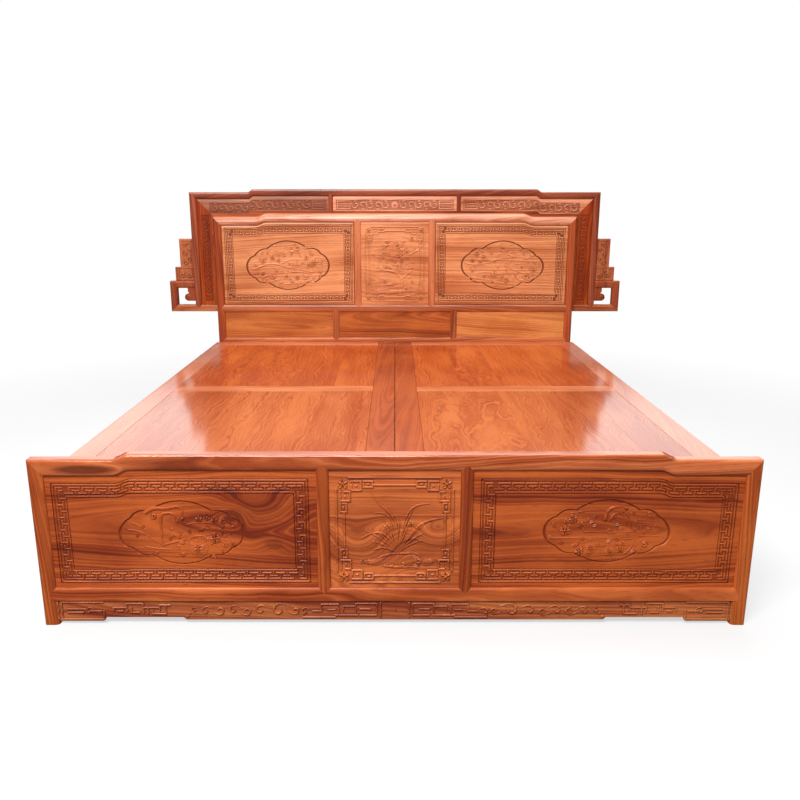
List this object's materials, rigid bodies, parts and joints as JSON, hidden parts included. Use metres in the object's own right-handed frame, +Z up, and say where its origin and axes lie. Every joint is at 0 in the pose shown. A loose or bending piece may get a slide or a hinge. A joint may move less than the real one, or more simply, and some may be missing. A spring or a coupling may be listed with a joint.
{
  "type": "carved double bed",
  "caption": "Rosewood double bed with carved panelled footboard and headboard, a taller rear screen with stepped side wings, and loose framed bed boards.",
  "frame": {"origin": "on the floor under the middle of the bounding box", "axes": "+X across the bed to the right as seen from the foot, +Y from the footboard to the headboard, +Z up"},
  "size_m": [2.3, 2.134, 1.169],
  "materials": {
    "frame_rosewood": "gloss lacquer",
    "panel_rosewood": "gloss lacquer",
    "plain_rosewood": "thin matt lacquer",
    "brass": "satin"
  },
  "bodies": {
    "root": {"foot_post_left": "frame_rosewood", "foot_post_right": "frame_rosewood", "foot_top_rail": "frame_rosewood", "foot_bottom_rail": "frame_rosewood", "foot_stile_left": "frame_rosewood", "foot_stile_right": "frame_rosewood", "foot_panel_left": "panel_rosewood", "foot_panel_centre": "panel_rosewood", "foot_panel_right": "panel_rosewood", "foot_apron": "panel_rosewood", "head_post_left": "frame_rosewood", "head_post_right": "frame_rosewood", "head_top_rail": "frame_rosewood", "head_middle_rail": "frame_rosewood", "head_bottom_rail": "frame_rosewood", "head_floor_rail": "plain_rosewood", "head_stile_left": "frame_rosewood", "head_stile_right": "frame_rosewood", "head_panel_left": "panel_rosewood", "head_panel_centre": "panel_rosewood", "head_panel_right": "panel_rosewood", "head_low_stiles": "frame_rosewood", "head_low_panels": "panel_rosewood", "head_base_panel": "plain_rosewood", "screen_post_left": "frame_rosewood", "screen_post_right": "frame_rosewood", "screen_top_rail": "frame_rosewood", "screen_bottom_rail": "frame_rosewood", "screen_inner_rail": "frame_rosewood", "screen_inner_posts": "frame_rosewood", "screen_stiles": "frame_rosewood", "screen_frieze_left": "panel_rosewood", "screen_frieze_centre": "panel_rosewood", "screen_frieze_right": "panel_rosewood", "screen_side_left": "panel_rosewood", "screen_side_right": "panel_rosewood", "screen_back_panel": "plain_rosewood", "wing_block_left": "frame_rosewood", "wing_block_right": "frame_rosewood", "wing_fret_left": "frame_rosewood", "wing_fret_right": "frame_rosewood", "screen_screws": "brass", "side_rail_left": "plain_rosewood", "side_rail_right": "plain_rosewood", "corner_legs": "plain_rosewood", "bed_bolts": "brass", "centre_beam": "plain_rosewood", "centre_legs": "plain_rosewood", "cross_bearers": "plain_rosewood"},
    "left_board": {"left_board_outer_stile": "frame_rosewood", "left_board_inner_stile": "frame_rosewood", "left_board_rails": "frame_rosewood", "left_board_front_panel": "panel_rosewood", "left_board_rear_panel": "panel_rosewood"},
    "right_board": {"right_board_outer_stile": "frame_rosewood", "right_board_inner_stile": "frame_rosewood", "right_board_rails": "frame_rosewood", "right_board_front_panel": "panel_rosewood", "right_board_rear_panel": "panel_rosewood"}
  },
  "joints": [
    {"name": "left_board_lift", "type": "slide", "parent": "root", "child": "left_board", "axis": [0, 0, 1], "range_m": [0, 0.25]},
    {"name": "right_board_lift", "type": "slide", "parent": "root", "child": "right_board", "axis": [0, 0, 1], "range_m": [0, 0.25]}
  ]
}
